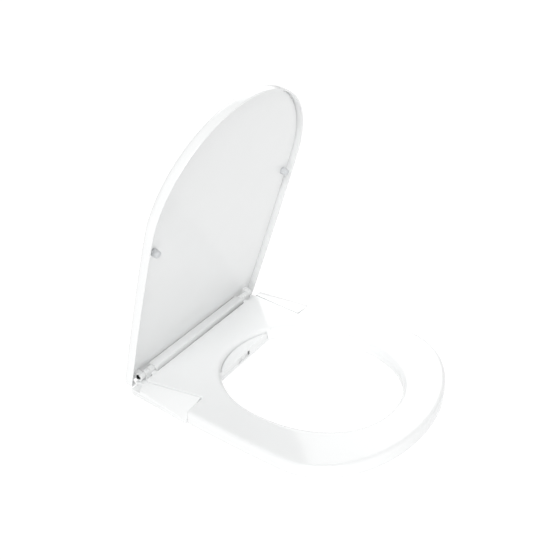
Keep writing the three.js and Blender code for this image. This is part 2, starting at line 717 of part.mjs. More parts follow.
function powerBoard() {
  const z0 = INSIDE_FLOOR + 1.5;
  const x1 = -(TONGUE_REAR_HALF_WIDTH + 2);
  const board = box(x1 - 11, x1, stationY(74), stationY(18), z0, z0 + 1.6);
  const capacitor = rod('z', [x1 - 5.5, stationY(62), z0 + 4.3], 5, 5.6, 20);
  const choke = box(x1 - 10, x1 - 1, stationY(46), stationY(28), z0 + 1.5, z0 + 7.5);
  return join(board, capacitor, choke);
}

const VALVE_X = 138;
const VALVE_STATION = 32;
const COIL_LENGTH = 20;
const FITTING_START_Y = REAR_Y - UNIT_WALL - 6;

function inletValve() {
  const half = 7.5;
  const front = stationY(VALVE_STATION);
  return box(VALVE_X - half, VALVE_X + half, front, FITTING_START_Y - GAP, INSIDE_FLOOR, INSIDE_TOP);
}

function valveCoil() {
  const y1 = stationY(VALVE_STATION) - GAP;
  return rod('y', [VALVE_X, y1 - COIL_LENGTH / 2, INSIDE_FLOOR + 6], 5.7, COIL_LENGTH);
}

function inletUnion() {
  const start = FITTING_START_Y;
  const end = REAR_Y + REAR_FITTING_REACH;
  const length = end - start;
  const tube = rod('y', [INLET_X, start + length / 2, INLET_Z], INLET_RADIUS - 1, length);
  const collar = rod('y', [INLET_X, end - 3, INLET_Z], INLET_RADIUS, 6);
  const bore = rod('y', [INLET_X, end, INLET_Z], INLET_RADIUS - 2.2, 24);
  return cut(join(tube, collar), bore);
}

function inletHose() {
  const start = stationY(VALVE_STATION) - COIL_LENGTH - 2 * GAP;
  const path = [
    [VALVE_X - 4, start, INSIDE_FLOOR + 4],
    [VALVE_X - 4, start - 5, INSIDE_FLOOR + 4],
    [VALVE_X - 13, start - 10, INSIDE_FLOOR + 4],
    [VALVE_X - 15, start - 18, INSIDE_FLOOR + 4],
  ];
  return hose(path, HOSE_RADIUS);
}

function cordGland() {
  const start = REAR_Y - UNIT_WALL - 5;
  const end = REAR_Y + REAR_FITTING_REACH - 1;
  const sleeve = rod('y', [GLAND_X, (start + end) / 2, GLAND_Z], GLAND_RADIUS, end - start);
  const bore = rod('y', [GLAND_X, (start + end) / 2, GLAND_Z], GLAND_RADIUS - 1.4, end - start + 2);
  return cut(sleeve, bore);
}

// ---------------------------------------------------------------- buttons

function sideButton(name) {
  const { x, y } = buttonPlace(name);
  const inner = x - UNIT_WALL - 3;
  const outer = x + BUTTON_PROUD;
  return rod('x', [(inner + outer) / 2, y, BUTTON_Z], BUTTON_RADIUS, outer - inner);
}

function buttonBoard() {
  const stations = Object.values(BUTTON_STATIONS);
  const x1 = halfWidth(Math.min(...stations), SEAT_PLAN) - UNIT_WALL - 3 - BUTTON_TRAVEL - 2;
  const low = stationY(Math.max(...stations) + 7);
  const high = stationY(Math.min(...stations) - 4);
  const board = box(x1 - 1.6, x1, low, high, BUTTON_Z - 6, BUTTON_Z + 6);
  const switches = Object.keys(BUTTON_STATIONS).map((name) => {
    const { x, y } = buttonPlace(name);
    const face = x - UNIT_WALL - 3 - BUTTON_TRAVEL - GAP;
    return box(x1 - 0.5, face, y - 3, y + 3, BUTTON_Z - 3, BUTTON_Z + 3);
  });
  return belowSlopes(join(board, ...switches), SHOULDER_TOP - UNIT_WALL - GAP);
}

const LED_RADIUS = 1.6;
const LED_STATION = 30;

function ledPlace() {
  return [halfWidth(LED_STATION, SEAT_PLAN) - 1, stationY(LED_STATION), BUTTON_Z + 4];
}

const ledLens = () => rod('x', ledPlace(), LED_RADIUS, 3, 16);

function releaseButton() {
  const start = REAR_Y - UNIT_WALL - 6;
  const end = REAR_Y + 4;
  return rod('y', [RELEASE_X, (start + end) / 2, RELEASE_Z], RELEASE_RADIUS, end - start);
}

// ---------------------------------------------------------------- assembly

const part = new THREE.Group();

function place(parent, name, solid, material) {
  const mesh = new THREE.Mesh(toGeometry(solid), material);
  mesh.name = name;
  parent.add(mesh);
}

place(part, 'mounting_plate', mountingPlate(), GREY_PLASTIC);
place(part, 'base_tray', baseTray(), WHITE_SATIN);
place(part, 'base_cover', baseCover(), WHITE_GLOSS);
place(part, 'hinge_bar_cover', hingeBarCover(), WHITE_GLOSS);
place(part, 'hinge_pin_left', hingePin(-1), STEEL);
place(part, 'hinge_pin_right', hingePin(1), STEEL);
place(part, 'seat_damper', damper(-1), BLACK_PLASTIC);
place(part, 'lid_damper', damper(1), BLACK_PLASTIC);

Object.entries(SCREW_PLACES).forEach(([name, spot]) => {
  place(part, name, casingScrew(spot), STEEL);
});

place(part, 'seat_top_shell', seatTopShell(), WHITE_GLOSS);
place(part, 'seat_bottom_shell', seatBottomShell(), WHITE_SATIN);
place(part, 'seat_heater', seatHeater(), FOIL);
Object.entries(SEAT_BUFFER_PLACES).forEach(([name, spot]) => {
  place(part, name, seatBuffer(spot), GREY_RUBBER);
});

place(part, 'nozzle_cradle', nozzleCradle(), WHITE_SATIN);
place(part, 'rear_nozzle', nozzle(-1), WHITE_SATIN);
place(part, 'front_nozzle', nozzle(1), WHITE_SATIN);
place(part, 'rear_nozzle_pinion', pinion(-1), GREY_PLASTIC);
place(part, 'front_nozzle_pinion', pinion(1), GREY_PLASTIC);
place(part, 'rear_nozzle_motor', nozzleMotor(-1), STEEL);
place(part, 'front_nozzle_motor', nozzleMotor(1), STEEL);

place(part, 'flow_heater', flowHeater(), STEEL);
place(part, 'diverter_valve', diverterValve(), GREY_PLASTIC);
place(part, 'heater_hose', heaterHose(), GREY_RUBBER);
place(part, 'inlet_valve', inletValve(), GREY_PLASTIC);
place(part, 'inlet_valve_coil', valveCoil(), BLACK_PLASTIC);
place(part, 'inlet_hose', inletHose(), GREY_RUBBER);
place(part, 'water_inlet_union', inletUnion(), BRASS);
place(part, 'cord_gland', cordGland(), WHITE_SATIN);
place(part, 'control_board', controlBoard(), BOARD_GREEN);
place(part, 'power_board', powerBoard(), BOARD_GREEN);
place(part, 'button_board', buttonBoard(), BOARD_GREEN);
Object.keys(BUTTON_STATIONS).forEach((name) => {
  place(part, name, sideButton(name), WHITE_SATIN);
});
place(part, 'led_lens', ledLens(), SMOKE_LENS);
place(part, 'release_button', releaseButton(), GREY_PLASTIC);

const lid = new THREE.Group();
lid.position.set(0, HINGE_Y, HINGE_Z);
lid.rotation.x = THREE.MathUtils.degToRad(-LID_OPEN_DEG);
const closedLid = new THREE.Group();
closedLid.position.set(0, -HINGE_Y, -HINGE_Z);
lid.add(closedLid);
part.add(lid);
place(closedLid, 'lid_shell', lidShell(), WHITE_GLOSS);
place(closedLid, 'lid_inner_panel', lidInnerPanel(), WHITE_GLOSS);
place(closedLid, 'lid_buffer_left', lidBuffer(-1), GREY_RUBBER);
place(closedLid, 'lid_buffer_right', lidBuffer(1), GREY_RUBBER);

export default part;
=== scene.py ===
# %% [markdown]
# # A slim bidet seat in white moulded plastic
# The seat, the lid and the wash unit are thin mouldings with wide smooth faces, so nearly everything that the
# eye reads is the roundness of their edges and what their gloss mirrors. The CAD model fixes where each piece is
# and what turns on what. This file models the same pieces again with soft edges and gives them their plastics.

import json
import math

import bmesh
import bpy
from mathutils import Matrix, Vector

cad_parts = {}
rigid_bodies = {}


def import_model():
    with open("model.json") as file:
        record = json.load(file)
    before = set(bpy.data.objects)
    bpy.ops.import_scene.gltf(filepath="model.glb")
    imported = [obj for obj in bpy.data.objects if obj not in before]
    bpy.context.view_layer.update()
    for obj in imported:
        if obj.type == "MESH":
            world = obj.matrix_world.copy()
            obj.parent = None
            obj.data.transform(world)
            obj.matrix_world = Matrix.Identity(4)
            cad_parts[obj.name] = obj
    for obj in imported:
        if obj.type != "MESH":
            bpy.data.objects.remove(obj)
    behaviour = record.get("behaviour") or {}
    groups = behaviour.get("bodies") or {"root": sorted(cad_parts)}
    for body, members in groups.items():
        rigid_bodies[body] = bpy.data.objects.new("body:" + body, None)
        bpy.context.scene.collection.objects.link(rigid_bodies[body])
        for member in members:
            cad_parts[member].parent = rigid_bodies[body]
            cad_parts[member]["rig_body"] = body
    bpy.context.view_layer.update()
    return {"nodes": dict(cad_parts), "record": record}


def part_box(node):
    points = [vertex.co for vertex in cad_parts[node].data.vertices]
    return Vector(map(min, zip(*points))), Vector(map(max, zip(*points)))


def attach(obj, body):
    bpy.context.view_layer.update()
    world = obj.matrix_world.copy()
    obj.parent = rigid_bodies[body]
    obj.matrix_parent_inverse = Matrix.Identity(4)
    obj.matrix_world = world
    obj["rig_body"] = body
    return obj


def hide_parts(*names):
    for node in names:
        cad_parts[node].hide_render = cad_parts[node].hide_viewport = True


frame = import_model()
nodes = frame["nodes"]
slot_of = {row["node"]: row["material_slot"] for row in frame["record"]["subparts"]}

# %% [markdown]
# ## The camera
# The seat is seen from its front left, a little above, from about 1.4 m. A camera can be aimed with a constraint,
# but a matrix says the same thing without any moving part: its three axes are the columns, and its place lies
# back along the third. The small roll and the sideways steps put the seat where it belongs in the picture.

# %% Camera
AZIMUTH, ELEVATION, ROLL = math.radians(-55.674), math.radians(30.445), math.radians(-2.051)
DISTANCE = 1.3854  # metres from the frame's origin, along the view
STEP_RIGHT, STEP_UP = -0.12337, -0.11326
FOCAL_SHARE = 1.48925  # focal length as a share of the picture's width
SENSOR_MM = 36

toward_viewer = Vector((
    math.sin(AZIMUTH) * math.cos(ELEVATION),
    -math.cos(AZIMUTH) * math.cos(ELEVATION),
    math.sin(ELEVATION),
))
level_right = Vector((math.cos(AZIMUTH), math.sin(AZIMUTH), 0))
level_up = toward_viewer.cross(level_right)
picture_right = math.cos(ROLL) * level_right + math.sin(ROLL) * level_up
picture_up = math.cos(ROLL) * level_up - math.sin(ROLL) * level_right

camera_data = bpy.data.cameras.new("camera")
camera_data.sensor_width = SENSOR_MM
camera_data.lens = FOCAL_SHARE * SENSOR_MM
camera = bpy.data.objects.new("camera", camera_data)
place = -STEP_RIGHT * picture_right - STEP_UP * picture_up + DISTANCE * toward_viewer
axes = Matrix((picture_right, picture_up, toward_viewer)).transposed().to_4x4()
camera.matrix_world = Matrix.Translation(place) @ axes
bpy.context.scene.collection.objects.link(camera)
bpy.context.scene.camera = camera
print("camera at", [round(x, 3) for x in place], "lens", round(camera_data.lens, 1), "mm")

# %% [markdown]
# ## Two helpers for finishes
# A colour is picked as a hex value, as in any paint program, and those values are stored with a curve that
# Blender's shaders don't use, so one function straightens them. Every node is added the same way: its kind, its
# own settings, and its sockets, each either given a value or joined to another node's output.

# %% Colour and node helpers
def linear(hex_code):
    """An sRGB hex colour as linear RGBA."""
    channels = [int(hex_code[i:i + 2], 16) / 255 for i in (0, 2, 4)]
    straight = [c / 12.92 if c <= 0.04045 else ((c + 0.055) / 1.055) ** 2.4 for c in channels]
    return (*straight, 1)


def add(tree, kind, sockets=None, **settings):
    """One node, with its settings, and with its sockets set or linked."""
    made = tree.nodes.new(kind)
    for name, value in settings.items():
        setattr(made, name, value)
    for name, value in (sockets or {}).items():
        if isinstance(value, bpy.types.NodeSocket):
            tree.links.new(value, made.inputs[name])
        else:
            made.inputs[name].default_value = value
    return made


def new_material(name):
    """An empty material with a surface shader and its coordinates in metres."""
    material = bpy.data.materials.new(name)
    material.use_nodes = True
    tree = material.node_tree
    tree.nodes.clear()
    shader = add(tree, "ShaderNodeBsdfPrincipled")
    add(tree, "ShaderNodeOutputMaterial", {"Surface": shader.outputs["BSDF"]})
    coords = add(tree, "ShaderNodeTexCoord").outputs["Object"]
    return material, tree, shader, coords


def per_mm(size):
    """The scale that makes a pattern's features this many millimetres wide."""
    return 1000 / size


print("white as linear light:", [round(c, 3) for c in linear("f4f5f6")])

# %% [markdown]
# ## Moulded plastics and rubber
# The casing is ABS, injection moulded in a polished steel tool, with a faint waviness some centimetres long left
# as the plastic shrank. Hidden faces come from a tool that was only blasted, so they are matt with a fine grain.
# One recipe serves all of them: a slow noise changes the colour and gloss very slightly, and a slow and a fine
# noise make the relief. Only sizes, depths and colours differ.

# %% Moulded finishes
def moulded(name, colour, shade, roughness, spread, ior, wave_mm, wave_depth, grain_mm, grain_depth):
    """A moulded finish: colours, gloss and its spread, then waviness and grain, both in millimetres."""
    material, tree, shader, coords = new_material(name)
    slow = add(tree, "ShaderNodeTexNoise", {"Vector": coords, "Scale": per_mm(wave_mm), "Detail": 1.0})
    fine = add(tree, "ShaderNodeTexNoise", {"Vector": coords, "Scale": per_mm(grain_mm), "Detail": 3.0})
    tint = add(tree, "ShaderNodeMix", {"Factor": slow.outputs["Fac"]}, data_type="RGBA")
    tint.inputs["A"].default_value = linear(colour)
    tint.inputs["B"].default_value = linear(shade)
    tree.links.new(tint.outputs["Result"], shader.inputs["Base Color"])
    gloss = add(tree, "ShaderNodeMapRange", {
        "Value": fine.outputs["Fac"], "To Min": roughness - spread, "To Max": roughness + spread,
    })
    tree.links.new(gloss.outputs["Result"], shader.inputs["Roughness"])
    waves = add(tree, "ShaderNodeBump", {"Height": slow.outputs["Fac"], "Distance": wave_depth / 1000})
    relief = add(tree, "ShaderNodeBump", {
        "Height": fine.outputs["Fac"], "Distance": grain_depth / 1000, "Normal": waves.outputs["Normal"],
    })
    tree.links.new(relief.outputs["Normal"], shader.inputs["Normal"])
    shader.inputs["IOR"].default_value = ior
    return material


finishes = {
    # polished ABS: a near mirror under a neutral white, which the lid's underside shows up in
    "white_gloss": moulded("polished_white_abs", "f3f4f4", "f1f2f2", 0.09, 0.015, 1.53, 45, 0.02, 3, 0.0008),
    # blasted ABS: the same white without the mirror
    "white_satin": moulded("blasted_white_abs", "f1f2f2", "eeefef", 0.42, 0.05, 1.53, 30, 0.02, 0.8, 0.01),
    # silicone rubber: dull, with the fine skin of an unpolished mould
    "grey_rubber": moulded("grey_silicone_rubber", "dadcde", "d2d4d6", 0.66, 0.08, 1.42, 9, 0.03, 0.5, 0.03),
    "grey_plastic": moulded("grey_polypropylene", "bcbfc2", "b3b6b9", 0.48, 0.06, 1.49, 14, 0.03, 0.7, 0.02),
    "black_plastic": moulded("black_nylon", "26282a", "1e2022", 0.45, 0.06, 1.53, 10, 0.02, 0.6, 0.02),
}
print("moulded finishes:", sorted(finishes))

# %% [markdown]
# ## Metal, board, foil and lens
# Turned brass and drawn steel carry fine lines along or round the tool's path; a noise squeezed along one axis
# draws them. The circuit boards are green lacquer over copper tracks, which a brick pattern lays out in straight
# runs. The heating foil has a brown meandering track, and the lamp's lens is smoked polycarbonate.

# %% Metal finishes
def metal(name, colour, shade, roughness, line_mm, stretch):
    """A machined metal, with tool lines that are line_mm apart and run where stretch is small."""
    material, tree, shader, coords = new_material(name)
    squeezed = add(tree, "ShaderNodeMapping", {"Vector": coords, "Scale": stretch})
    lines = add(tree, "ShaderNodeTexNoise", {
        "Vector": squeezed.outputs["Vector"], "Scale": per_mm(line_mm), "Detail": 2.0,
    })
    tint = add(tree, "ShaderNodeMix", {"Factor": lines.outputs["Fac"]}, data_type="RGBA")
    tint.inputs["A"].default_value = linear(colour)
    tint.inputs["B"].default_value = linear(shade)
    tree.links.new(tint.outputs["Result"], shader.inputs["Base Color"])
    gloss = add(tree, "ShaderNodeMapRange", {
        "Value": lines.outputs["Fac"], "To Min": roughness - 0.08, "To Max": roughness + 0.08,
    })
    tree.links.new(gloss.outputs["Result"], shader.inputs["Roughness"])
    relief = add(tree, "ShaderNodeBump", {"Height": lines.outputs["Fac"], "Distance": 0.00001})
    tree.links.new(relief.outputs["Normal"], shader.inputs["Normal"])
    shader.inputs["Metallic"].default_value = 1.0
    return material


finishes["steel"] = metal("drawn_stainless_steel", "c8cbce", "b4b8bb", 0.3, 0.5, (0.06, 1, 1))
finishes["brass"] = metal("turned_brass", "d1b071", "b9955a", 0.28, 0.4, (0.1, 1, 0.1))
print("metals:", finishes["steel"].name, finishes["brass"].name)

# %% Board, foil and lens
def tracks(name, ground, track, roughness, run_mm, pitch_mm, width):
    """Straight conductor runs under a lacquer."""
    material, tree, shader, coords = new_material(name)
    runs = add(tree, "ShaderNodeTexBrick", {
        "Vector": coords, "Scale": 1.0, "Mortar Size": width / 1000, "Mortar Smooth": 0.2,
        "Brick Width": run_mm / 1000, "Row Height": pitch_mm / 1000,
        "Color1": linear(ground), "Color2": linear(ground), "Mortar": linear(track),
    })
    tree.links.new(runs.outputs["Color"], shader.inputs["Base Color"])
    relief = add(tree, "ShaderNodeBump", {"Height": runs.outputs["Fac"], "Distance": 0.00005})
    tree.links.new(relief.outputs["Normal"], shader.inputs["Normal"])
    shader.inputs["Roughness"].default_value = roughness
    return material


def smoked_lens():
    material, tree, shader, coords = new_material("smoked_polycarbonate")
    cloud = add(tree, "ShaderNodeTexNoise", {"Vector": coords, "Scale": per_mm(4)})
    tint = add(tree, "ShaderNodeMix", {"Factor": cloud.outputs["Fac"]}, data_type="RGBA")
    tint.inputs["A"].default_value = linear("6d757d")
    tint.inputs["B"].default_value = linear("59616a")
    tree.links.new(tint.outputs["Result"], shader.inputs["Base Color"])
    shader.inputs["Roughness"].default_value = 0.08
    shader.inputs["IOR"].default_value = 1.58
    return material


finishes["circuit_board"] = tracks("green_circuit_board", "1f5c40", "3f8259", 0.35, 17, 2.4, 0.7)
finishes["heating_foil"] = tracks("etched_heating_foil", "c9862e", "7d4a22", 0.4, 60, 6, 2.2)
finishes["smoke_lens"] = smoked_lens()
print("all finishes:", len(finishes))

# %% [markdown]
# ## From a worked mesh to a piece
# Shapes are worked in millimetres and become metres at the end. Faces of a rounded moulding should look round and
# still keep their creases, so a piece is shaded smooth and then edges that turn more than a given angle are
# marked sharp. Each piece rides on the CAD body that it moves with and stands for the CAD nodes that it replaces.

# %% Piece helper
MILLIMETRE = 0.001


def piece(name, bm, body, slot, replaced=(), sharp_deg=38):
    """Ends the work on a mesh and puts it in the scene."""
    bmesh.ops.scale(bm, vec=(MILLIMETRE,) * 3, verts=bm.verts)
    mesh = bpy.data.meshes.new(name)
    bm.to_mesh(mesh)
    bm.free()
    mesh.shade_smooth()
    mesh.set_sharp_from_angle(angle=math.radians(sharp_deg))
    made = bpy.data.objects.new(name, mesh)
    bpy.context.scene.collection.objects.link(made)
    mesh.materials.append(finishes[slot])
    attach(made, body)
    if replaced:
        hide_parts(*replaced)
    print(f"{name}: {len(mesh.polygons)} faces on {body}")
    return made


# %% [markdown]
# ## Outlines
# Seen from above, the seat is widest two thirds of the way forward and ends in half an ellipse, and the lid
# follows it a little narrower and longer. Both are measured by station, the distance forward from the deck's rear
# edge. Corners are rounded by an arc that touches both sides, and an inset moves every point inwards, square to
# the outline, as a mould maker draws the next contour of a rounded edge.

# %% Outline helpers
DECK_REAR_Y = 2
WIDEST_STATION = 274
FLANK_POWER = 1.5
SEAT_PLAN = {"rear": 161, "widest": 182, "length": 405}
LID_PLAN = {"rear": 163, "widest": 176, "length": 435}


def half_width(station, plan):
    if station <= WIDEST_STATION:
        share = (WIDEST_STATION - station) / WIDEST_STATION
        return plan["widest"] - (plan["widest"] - plan["rear"]) * share ** FLANK_POWER
    reach = (station - WIDEST_STATION) / (plan["length"] - WIDEST_STATION)
    return plan["widest"] * math.sqrt(max(0, 1 - reach * reach))


def rounded(before, corner, after, radius, steps):
    """Points of an arc that replaces a corner, from the side of before to the side of after."""
    corner = Vector(corner)
    first = (Vector(before) - corner).normalized()
    second = (Vector(after) - corner).normalized()
    half = first.angle(second) / 2
    middle = corner + (first + second).normalized() * (radius / math.sin(half))
    start = corner + first * (radius / math.tan(half)) - middle
    end = corner + second * (radius / math.tan(half)) - middle
    turn = start.angle_signed(end)
    points = []
    for i in range(steps + 1):
        angle = -turn * i / steps
        points.append(middle + Matrix.Rotation(angle, 2) @ start)
    return [(p.x, p.y) for p in points]


def along(start, end, steps):
    """Points from start up to, and not including, end."""
    a, b = Vector(start), Vector(end)
    return [tuple(a.lerp(b, i / steps)) for i in range(steps)]


def flank_and_nose(plan, station, flank_steps, nose_steps):
    """The curved side from a station to the front, half way round."""
    points = []
    for i in range(flank_steps):
        s = station + (WIDEST_STATION - station) * i / flank_steps
        points.append((half_width(s, plan), s))
    for i in range(nose_steps):
        angle = math.pi / 2 * i / nose_steps
        reach = (plan["length"] - WIDEST_STATION) * math.sin(angle)
        points.append((plan["widest"] * math.cos(angle), WIDEST_STATION + reach))
    return points


def mirrored(right, front):
    """A closed outline in x and y, from the points of its right half, given by station, and its front point."""
    half = [(x, DECK_REAR_Y - s) for x, s in right]
    return half + [(0, DECK_REAR_Y - front)] + [(-x, y) for x, y in reversed(half)]


def inset(outline, distance):
    """Each point moved inwards by a distance, square to its neighbours' line."""
    moved = []
    for i, here in enumerate(outline):
        ahead = (Vector(outline[(i + 1) % len(outline)]) - Vector(here)).normalized()
        behind = (Vector(here) - Vector(outline[i - 1])).normalized()
        line = (ahead + behind).normalized()
        lengthen = 1 / max(0.5, line.dot(ahead))
        moved.append((here[0] + line.y * distance * lengthen, here[1] - line.x * distance * lengthen))
    return moved


# the way round is clockwise seen from above, so that inwards is to the right of it
print("seat's half width at its shoulders:", round(half_width(98, SEAT_PLAN), 1))

# %% [markdown]
# ## A skin from a grid
# A moulding with a rounded edge is the same section carried round an outline. A flat grid has just the right
# faces: its columns go round the outline and its rows follow the section. Each of its points is put in place, and
# the seam and any rows that fall together are welded.

# %% Grid helper
def wrapped(rows):
    """A mesh from a list of closed rings that all have the same number of points."""
    around, rings = len(rows[0]), len(rows)
    bm = bmesh.new()
    bmesh.ops.create_grid(bm, x_segments=around, y_segments=rings - 1, size=1)
    assert len(bm.verts) == (around + 1) * rings
    for vert in bm.verts:
        column = round((vert.co.x + 1) / 2 * around) % around
        row = round((vert.co.y + 1) / 2 * (rings - 1))
        vert.co = rows[row][column]
    bmesh.ops.remove_doubles(bm, verts=bm.verts, dist=0.01)
    bmesh.ops.dissolve_degenerate(bm, edges=bm.edges, dist=0.01)
    bmesh.ops.recalc_face_normals(bm, faces=bm.faces)
    return bm


def quarter(steps):
    """Cosine and sine of each step of a quarter turn."""
    return [(math.cos(math.pi / 2 * i / steps), math.sin(math.pi / 2 * i / steps)) for i in range(steps + 1)]


print("a quarter turn in six steps has", len(quarter(6)), "points")

# %% [markdown]
# ## The seat
# The seat is one hollow moulding, open below: a ring about 20 mm thick that runs back into a thin deck between
# the wash unit's shoulders. Its outer edge has a 5.5 mm radius. The edge of the opening is rounder, for comfort,
# so the top rolls over into the inner wall with no line, and the ring falls slightly towards it. The skin is
# wrapped first and then given a wall.

# %% Seat outlines
TONGUE_REAR, TONGUE_FRONT, TONGUE_END = 145.5, 132.5, 99.5
SEAT_BOTTOM, SEAT_TOP, DECK_UNDERSIDE = 7, 27.5, 22
UNIT_FRONT_STATION = 83.5
OPENING_CENTRE, OPENING_HALF_LENGTH, OPENING_HALF_WIDTH, OPENING_POWER = 207, 142.5, 118, 2.16


def seat_outline():
    corner = (TONGUE_REAR, 0)
    inner_corner = (TONGUE_FRONT, TONGUE_END)
    outer_corner = (half_width(TONGUE_END, SEAT_PLAN), TONGUE_END)
    rear_arc = rounded((0, 0), corner, inner_corner, 6, 6)
    inner_arc = rounded(corner, inner_corner, outer_corner, 2.5, 4)
    outer_arc = rounded(inner_corner, outer_corner, (half_width(140, SEAT_PLAN), 140), 6, 6)
    points = along((0.01, 0), rear_arc[0], 24) + rear_arc[:-1]
    points += along(rear_arc[-1], inner_arc[0], 20) + inner_arc[:-1]
    points += along(inner_arc[-1], outer_arc[0], 6) + outer_arc
    points += flank_and_nose(SEAT_PLAN, TONGUE_END + 12, 34, 44)
    return mirrored(points, SEAT_PLAN["length"])


def opening_at(x, y, outset):
    """The opening's edge, on the line from its centre towards a point."""
    centre_y = DECK_REAR_Y - OPENING_CENTRE
    a, b = OPENING_HALF_WIDTH + outset, OPENING_HALF_LENGTH + outset
    p = OPENING_POWER
    size = (abs(x / a) ** p + abs((y - centre_y) / b) ** p) ** (1 / p)
    return (x / size, centre_y + (y - centre_y) / size)


seat_edge = seat_outline()
print("seat outline:", len(seat_edge), "points")

# %% Seat skin
SEAT_EDGE_RADIUS, OPENING_EDGE_RADIUS, SEAT_WALL = 5.5, 9, 2.6
CRISP = 0.25  # share of the edge radius that is left round the tongue
CRISP_END, CRISP_RUN = 96, 5
DISH_FALL, DISH_START, DISH_RUN = 2.2, 90, 60


def lowest_z(y):
    """The skin stops higher over the wash unit than it does on the ring."""
    return DECK_UNDERSIDE if DECK_REAR_Y - y < UNIT_FRONT_STATION else SEAT_BOTTOM


def ring_at(points, z):
    return [(x, y, max(z, lowest_z(y))) for x, y in points]


def seat_contour(distance):
    """The seat's contour at an inset; round the tongue, where it meets its neighbours, the edge is crisper."""
    moved = []
    for here, there in zip(seat_edge, inset(seat_edge, distance)):
        station = DECK_REAR_Y - here[1]
        share = CRISP + (1 - CRISP) * min(1, max(0, (station - CRISP_END) / CRISP_RUN))
        moved.append(tuple(Vector(here).lerp(Vector(there), share)))
    return moved


def dish(share, y):
    """How far the ring falls towards its opening, at a share of its width; the deck stays flat."""
    along_ring = min(1, max(0, (DECK_REAR_Y - y - DISH_START) / DISH_RUN))
    return DISH_FALL * along_ring * along_ring * (3 - 2 * along_ring) * share ** 1.4


def seat_rings():
    rows = [ring_at(seat_contour(0.5), SEAT_BOTTOM), ring_at(seat_contour(0.1), SEAT_BOTTOM + 1.2)]
    rows += [ring_at(seat_edge, z) for z in (10.5, 14, 18)]
    start = SEAT_TOP - SEAT_EDGE_RADIUS
    for c, s in quarter(7):
        rows.append(ring_at(seat_contour(SEAT_EDGE_RADIUS * (1 - c)), start + SEAT_EDGE_RADIUS * s))
    outer = seat_contour(SEAT_EDGE_RADIUS)
    inner = [opening_at(x, y, OPENING_EDGE_RADIUS) for x, y in outer]
    for share in (0.06, 0.14, 0.24, 0.36, 0.5, 0.64, 0.76, 0.86, 0.94):
        between = [Vector(a).lerp(Vector(b), share) for a, b in zip(outer, inner)]
        rows.append([(p.x, p.y, SEAT_TOP - dish(share, p.y)) for p in between])
    for c, s in quarter(8):
        edge = [opening_at(x, y, OPENING_EDGE_RADIUS * (1 - s)) for x, y in outer]
        fall = OPENING_EDGE_RADIUS * (1 - c)
        rows.append([(x, y, max(SEAT_TOP - dish(1, y) - fall, lowest_z(y))) for x, y in edge])
    edge = [opening_at(x, y, 0) for x, y in outer]
    rows += [[(x, y, min(max(z, lowest_z(y)), rows[-1][i][2])) for i, (x, y) in enumerate(edge)] for z in (10, 8.5)]
    rows.append(ring_at([opening_at(x, y, 0.5) for x, y in outer], SEAT_BOTTOM))
    return rows


seat = wrapped(seat_rings())
bmesh.ops.solidify(seat, geom=seat.faces[:], thickness=SEAT_WALL)
bmesh.ops.recalc_face_normals(seat, faces=seat.faces)
print("seat skin and its wall:", len(seat.faces), "faces")

# %% [markdown]
# ## Hinge knuckles
# A hinge knuckle is a short barrel with a web that ties it to its moulding. A cylinder from create_cone makes the
# barrel, laid along x, and a stretched cube makes the web. Bevels break the rims, because no moulded rim is sharp.

# %% Barrel and block helpers
HINGE_Y, HINGE_Z, HINGE_RADIUS = 12.5, 29, 6
LAY_ALONG = {"x": Matrix.Rotation(math.pi / 2, 3, "Y"), "y": Matrix.Rotation(math.pi / 2, 3, "X"),
             "z": Matrix.Identity(3)}


def barrel(bm, axis, centre, radius, length, rim=0.6, sides=48, end_radius=None):
    """A cylinder, or a cone with an end radius, with softened rims."""
    made = bmesh.ops.create_cone(
        bm, cap_ends=True, segments=sides, radius1=radius, radius2=end_radius or radius, depth=length,
    )
    verts = made["verts"]
    rims = {e for v in verts for e in v.link_edges if abs(e.verts[0].co.z - e.verts[1].co.z) < 1e-6}
    bmesh.ops.rotate(bm, cent=(0, 0, 0), matrix=LAY_ALONG[axis], verts=verts)
    bmesh.ops.translate(bm, vec=centre, verts=verts)
    if rim:
        bmesh.ops.bevel(bm, geom=list(rims), offset=rim, offset_type="OFFSET", affect="EDGES",
                        segments=3, profile=0.5, material=-1, clamp_overlap=True)


def block(bm, low, high, soft=0.6, segments=3):
    """A box between two corners, with softened edges."""
    made = bmesh.ops.create_cube(bm, size=1)
    size = [b - a for a, b in zip(low, high)]
    middle = [(a + b) / 2 for a, b in zip(low, high)]
    bmesh.ops.scale(bm, vec=size, verts=made["verts"])
    bmesh.ops.translate(bm, vec=middle, verts=made["verts"])
    edges = {e for v in made["verts"] for e in v.link_edges}
    bmesh.ops.bevel(bm, geom=list(edges), offset=soft, offset_type="OFFSET", affect="EDGES",
                    segments=segments, profile=0.5, material=-1, clamp_overlap=True)


# %% Seat knuckles and cross walls
SEAT_KNUCKLE = (116, 125.5)
CROSS_WALL_Y = (DECK_REAR_Y - 86, DECK_REAR_Y - 84)
for side in (-1, 1):
    low, high = sorted(side * x for x in SEAT_KNUCKLE)
    barrel(seat, "x", ((low + high) / 2, HINGE_Y, HINGE_Z), HINGE_RADIUS, high - low)
    block(seat, (low, -7, DECK_UNDERSIDE + 0.2), (high, HINGE_Y, SEAT_TOP - 0.6), 0.8)
    inner, outer = sorted((side * 70, side * 130))
    block(seat, (inner, CROSS_WALL_Y[0], SEAT_BOTTOM + 0.5), (outer, CROSS_WALL_Y[1], SEAT_TOP - 1.5), 0.3)
piece("seat_moulding", seat, "seat", "white_gloss", ["seat_top_shell"])

# %% [markdown]
# ## The lid
# The lid is a shallow dish: a crowned top, a side wall, a rim 2.5 mm wide, and inside it a flat panel sunk 9.5 mm,
# with a groove round it where it was welded in. It is wrapped closed, from the middle of the top over the rim to
# the middle of the panel, and then turned open about the hinge. Behind the hinge its wall is cut away so that it
# can swing over the bar.

